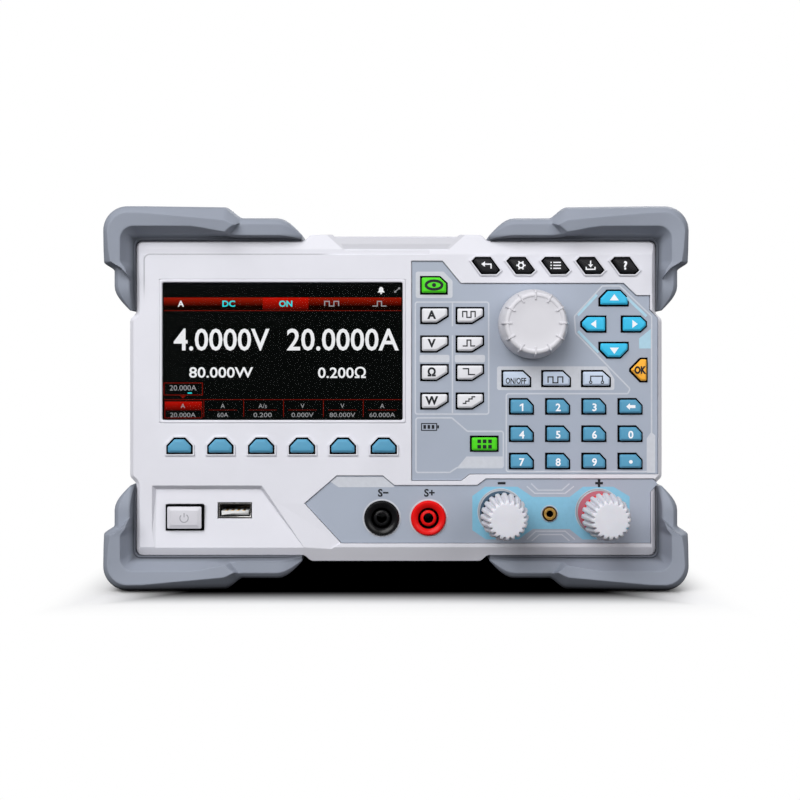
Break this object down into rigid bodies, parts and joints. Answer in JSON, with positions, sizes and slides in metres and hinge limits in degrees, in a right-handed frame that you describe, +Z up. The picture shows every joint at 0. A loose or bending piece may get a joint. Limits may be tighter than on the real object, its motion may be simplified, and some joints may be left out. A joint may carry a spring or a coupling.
{
  "type": "dc electronic load",
  "caption": "Bench DC electronic load: colour display, keypad, encoder knob, binding posts and sense sockets on a moulded front, sheet-metal case, fan cooling and rubber corner bumpers.",
  "frame": {"origin": "centre of the footprint on the surface that the bumpers stand on", "axes": "+X to the right seen from the front, +Y from the front panel to the rear, +Z up"},
  "size_m": [0.239, 0.442, 0.157],
  "materials": {
    "bezel": "fine matt moulded plastic",
    "fascia": "satin printed blue-grey sheet",
    "window": "dark gloss window",
    "lcd": "display module in a metal frame",
    "cover": "fine textured paint on sheet steel",
    "chassis": "plated sheet steel",
    "bumper": "matt blue-grey rubber",
    "terminal_black": "black moulded plastic",
    "terminal_red": "red moulded plastic",
    "hardware": "plated brass",
    "board": "green laminate with components",
    "heat_sink": "extruded aluminium",
    "fan_frame": "black glass-filled plastic",
    "connector": "plated shells and dark inserts",
    "knob": "fine matt moulded plastic",
    "post_knob": "translucent white plastic",
    "fan_rotor": "black plastic blades",
    "blue_key": "satin moulded key",
    "power_key": "satin moulded key",
    "black_key": "satin moulded key",
    "green_key": "satin moulded key",
    "white_key": "satin moulded key",
    "cyan_key": "satin moulded key",
    "orange_key": "satin moulded key",
    "pale_key": "satin moulded key"
  },
  "bodies": {
    "case": {"front_bezel": "bezel", "fascia_panels": "fascia", "display_window": "window", "lcd_module": "lcd", "cover": "cover", "chassis": "chassis", "corner_bumpers": "bumper", "negative_terminals": "terminal_black", "positive_terminals": "terminal_red", "studs_and_screws": "hardware", "circuit_boards": "board", "heat_sink": "heat_sink", "fan_frame": "fan_frame", "connectors": "connector"},
    "encoder_knob": {"encoder_knob": "knob"},
    "minus_post_knob": {"minus_post_knob": "post_knob"},
    "plus_post_knob": {"plus_post_knob": "post_knob"},
    "fan_rotor": {"fan_rotor": "fan_rotor"},
    "soft_key_1": {"soft_key_1": "blue_key"},
    "soft_key_2": {"soft_key_2": "blue_key"},
    "soft_key_3": {"soft_key_3": "blue_key"},
    "soft_key_4": {"soft_key_4": "blue_key"},
    "soft_key_5": {"soft_key_5": "blue_key"},
    "soft_key_6": {"soft_key_6": "blue_key"},
    "power_button": {"power_button": "power_key"},
    "menu_key_1": {"menu_key_1": "black_key"},
    "menu_key_2": {"menu_key_2": "black_key"},
    "menu_key_3": {"menu_key_3": "black_key"},
    "menu_key_4": {"menu_key_4": "black_key"},
    "menu_key_5": {"menu_key_5": "black_key"},
    "display_key": {"display_key": "green_key"},
    "function_key_1": {"function_key_1": "white_key"},
    "function_key_2": {"function_key_2": "white_key"},
    "function_key_3": {"function_key_3": "white_key"},
    "function_key_4": {"function_key_4": "white_key"},
    "function_key_5": {"function_key_5": "white_key"},
    "function_key_6": {"function_key_6": "white_key"},
    "function_key_7": {"function_key_7": "white_key"},
    "function_key_8": {"function_key_8": "white_key"},
    "app_key": {"app_key": "green_key"},
    "up_key": {"up_key": "cyan_key"},
    "down_key": {"down_key": "cyan_key"},
    "left_key": {"left_key": "cyan_key"},
    "right_key": {"right_key": "cyan_key"},
    "ok_key": {"ok_key": "orange_key"},
    "action_key_1": {"action_key_1": "pale_key"},
    "action_key_2": {"action_key_2": "pale_key"},
    "action_key_3": {"action_key_3": "pale_key"},
    "number_key_1": {"number_key_1": "blue_key"},
    "number_key_2": {"number_key_2": "blue_key"},
    "number_key_3": {"number_key_3": "blue_key"},
    "erase_key": {"erase_key": "blue_key"},
    "number_key_4": {"number_key_4": "blue_key"},
    "number_key_5": {"number_key_5": "blue_key"},
    "number_key_6": {"number_key_6": "blue_key"},
    "number_key_0": {"number_key_0": "blue_key"},
    "number_key_7": {"number_key_7": "blue_key"},
    "number_key_8": {"number_key_8": "blue_key"},
    "number_key_9": {"number_key_9": "blue_key"},
    "point_key": {"point_key": "blue_key"}
  },
  "joints": [
    {"name": "encoder_turn", "type": "hinge", "parent": "case", "child": "encoder_knob", "pos_m": [0.05591, -0.188, 0.10878], "axis": [0, -1, 0], "continuous": true},
    {"name": "minus_post_turn", "type": "hinge", "parent": "case", "child": "minus_post_knob", "pos_m": [0.0429, -0.188, 0.032], "axis": [0, -1, 0], "continuous": true},
    {"name": "plus_post_turn", "type": "hinge", "parent": "case", "child": "plus_post_knob", "pos_m": [0.08289, -0.188, 0.032], "axis": [0, -1, 0], "continuous": true},
    {"name": "fan_spin", "type": "hinge", "parent": "case", "child": "fan_rotor", "pos_m": [-0.057, 0.2108, 0.0603], "axis": [0, 1, 0], "continuous": true},
    {"name": "power_button_press", "type": "slide", "parent": "case", "child": "power_button", "axis": [0, 1, 0], "range_m": [0, 0.001], "stiffness_N_per_m": 800},
    {"name": "soft_key_1_press", "type": "slide", "parent": "case", "child": "soft_key_1", "axis": [0, 1, 0], "range_m": [0, 0.001], "stiffness_N_per_m": 800},
    {"name": "soft_key_2_press", "type": "slide", "parent": "case", "child": "soft_key_2", "axis": [0, 1, 0], "range_m": [0, 0.001], "stiffness_N_per_m": 800},
    {"name": "soft_key_3_press", "type": "slide", "parent": "case", "child": "soft_key_3", "axis": [0, 1, 0], "range_m": [0, 0.001], "stiffness_N_per_m": 800},
    {"name": "soft_key_4_press", "type": "slide", "parent": "case", "child": "soft_key_4", "axis": [0, 1, 0], "range_m": [0, 0.001], "stiffness_N_per_m": 800},
    {"name": "soft_key_5_press", "type": "slide", "parent": "case", "child": "soft_key_5", "axis": [0, 1, 0], "range_m": [0, 0.001], "stiffness_N_per_m": 800},
    {"name": "soft_key_6_press", "type": "slide", "parent": "case", "child": "soft_key_6", "axis": [0, 1, 0], "range_m": [0, 0.001], "stiffness_N_per_m": 800},
    {"name": "menu_key_1_press", "type": "slide", "parent": "case", "child": "menu_key_1", "axis": [0, 1, 0], "range_m": [0, 0.001], "stiffness_N_per_m": 800},
    {"name": "menu_key_2_press", "type": "slide", "parent": "case", "child": "menu_key_2", "axis": [0, 1, 0], "range_m": [0, 0.001], "stiffness_N_per_m": 800},
    {"name": "menu_key_3_press", "type": "slide", "parent": "case", "child": "menu_key_3", "axis": [0, 1, 0], "range_m": [0, 0.001], "stiffness_N_per_m": 800},
    {"name": "menu_key_4_press", "type": "slide", "parent": "case", "child": "menu_key_4", "axis": [0, 1, 0], "range_m": [0, 0.001], "stiffness_N_per_m": 800},
    {"name": "menu_key_5_press", "type": "slide", "parent": "case", "child": "menu_key_5", "axis": [0, 1, 0], "range_m": [0, 0.001], "stiffness_N_per_m": 800},
    {"name": "display_key_press", "type": "slide", "parent": "case", "child": "display_key", "axis": [0, 1, 0], "range_m": [0, 0.001], "stiffness_N_per_m": 800},
    {"name": "function_key_1_press", "type": "slide", "parent": "case", "child": "function_key_1", "axis": [0, 1, 0], "range_m": [0, 0.001], "stiffness_N_per_m": 800},
    {"name": "function_key_2_press", "type": "slide", "parent": "case", "child": "function_key_2", "axis": [0, 1, 0], "range_m": [0, 0.001], "stiffness_N_per_m": 800},
    {"name": "function_key_3_press", "type": "slide", "parent": "case", "child": "function_key_3", "axis": [0, 1, 0], "range_m": [0, 0.001], "stiffness_N_per_m": 800},
    {"name": "function_key_4_press", "type": "slide", "parent": "case", "child": "function_key_4", "axis": [0, 1, 0], "range_m": [0, 0.001], "stiffness_N_per_m": 800},
    {"name": "function_key_5_press", "type": "slide", "parent": "case", "child": "function_key_5", "axis": [0, 1, 0], "range_m": [0, 0.001], "stiffness_N_per_m": 800},
    {"name": "function_key_6_press", "type": "slide", "parent": "case", "child": "function_key_6", "axis": [0, 1, 0], "range_m": [0, 0.001], "stiffness_N_per_m": 800},
    {"name": "function_key_7_press", "type": "slide", "parent": "case", "child": "function_key_7", "axis": [0, 1, 0], "range_m": [0, 0.001], "stiffness_N_per_m": 800},
    {"name": "function_key_8_press", "type": "slide", "parent": "case", "child": "function_key_8", "axis": [0, 1, 0], "range_m": [0, 0.001], "stiffness_N_per_m": 800},
    {"name": "app_key_press", "type": "slide", "parent": "case", "child": "app_key", "axis": [0, 1, 0], "range_m": [0, 0.001], "stiffness_N_per_m": 800},
    {"name": "up_key_press", "type": "slide", "parent": "case", "child": "up_key", "axis": [0, 1, 0], "range_m": [0, 0.001], "stiffness_N_per_m": 800},
    {"name": "down_key_press", "type": "slide", "parent": "case", "child": "down_key", "axis": [0, 1, 0], "range_m": [0, 0.001], "stiffness_N_per_m": 800},
    {"name": "left_key_press", "type": "slide", "parent": "case", "child": "left_key", "axis": [0, 1, 0], "range_m": [0, 0.001], "stiffness_N_per_m": 800},
    {"name": "right_key_press", "type": "slide", "parent": "case", "child": "right_key", "axis": [0, 1, 0], "range_m": [0, 0.001], "stiffness_N_per_m": 800},
    {"name": "ok_key_press", "type": "slide", "parent": "case", "child": "ok_key", "axis": [0, 1, 0], "range_m": [0, 0.001], "stiffness_N_per_m": 800},
    {"name": "action_key_1_press", "type": "slide", "parent": "case", "child": "action_key_1", "axis": [0, 1, 0], "range_m": [0, 0.001], "stiffness_N_per_m": 800},
    {"name": "action_key_2_press", "type": "slide", "parent": "case", "child": "action_key_2", "axis": [0, 1, 0], "range_m": [0, 0.001], "stiffness_N_per_m": 800},
    {"name": "action_key_3_press", "type": "slide", "parent": "case", "child": "action_key_3", "axis": [0, 1, 0], "range_m": [0, 0.001], "stiffness_N_per_m": 800},
    {"name": "number_key_1_press", "type": "slide", "parent": "case", "child": "number_key_1", "axis": [0, 1, 0], "range_m": [0, 0.001], "stiffness_N_per_m": 800},
    {"name": "number_key_2_press", "type": "slide", "parent": "case", "child": "number_key_2", "axis": [0, 1, 0], "range_m": [0, 0.001], "stiffness_N_per_m": 800},
    {"name": "number_key_3_press", "type": "slide", "parent": "case", "child": "number_key_3", "axis": [0, 1, 0], "range_m": [0, 0.001], "stiffness_N_per_m": 800},
    {"name": "erase_key_press", "type": "slide", "parent": "case", "child": "erase_key", "axis": [0, 1, 0], "range_m": [0, 0.001], "stiffness_N_per_m": 800},
    {"name": "number_key_4_press", "type": "slide", "parent": "case", "child": "number_key_4", "axis": [0, 1, 0], "range_m": [0, 0.001], "stiffness_N_per_m": 800},
    {"name": "number_key_5_press", "type": "slide", "parent": "case", "child": "number_key_5", "axis": [0, 1, 0], "range_m": [0, 0.001], "stiffness_N_per_m": 800},
    {"name": "number_key_6_press", "type": "slide", "parent": "case", "child": "number_key_6", "axis": [0, 1, 0], "range_m": [0, 0.001], "stiffness_N_per_m": 800},
    {"name": "number_key_0_press", "type": "slide", "parent": "case", "child": "number_key_0", "axis": [0, 1, 0], "range_m": [0, 0.001], "stiffness_N_per_m": 800},
    {"name": "number_key_7_press", "type": "slide", "parent": "case", "child": "number_key_7", "axis": [0, 1, 0], "range_m": [0, 0.001], "stiffness_N_per_m": 800},
    {"name": "number_key_8_press", "type": "slide", "parent": "case", "child": "number_key_8", "axis": [0, 1, 0], "range_m": [0, 0.001], "stiffness_N_per_m": 800},
    {"name": "number_key_9_press", "type": "slide", "parent": "case", "child": "number_key_9", "axis": [0, 1, 0], "range_m": [0, 0.001], "stiffness_N_per_m": 800},
    {"name": "point_key_press", "type": "slide", "parent": "case", "child": "point_key", "axis": [0, 1, 0], "range_m": [0, 0.001], "stiffness_N_per_m": 800}
  ]
}
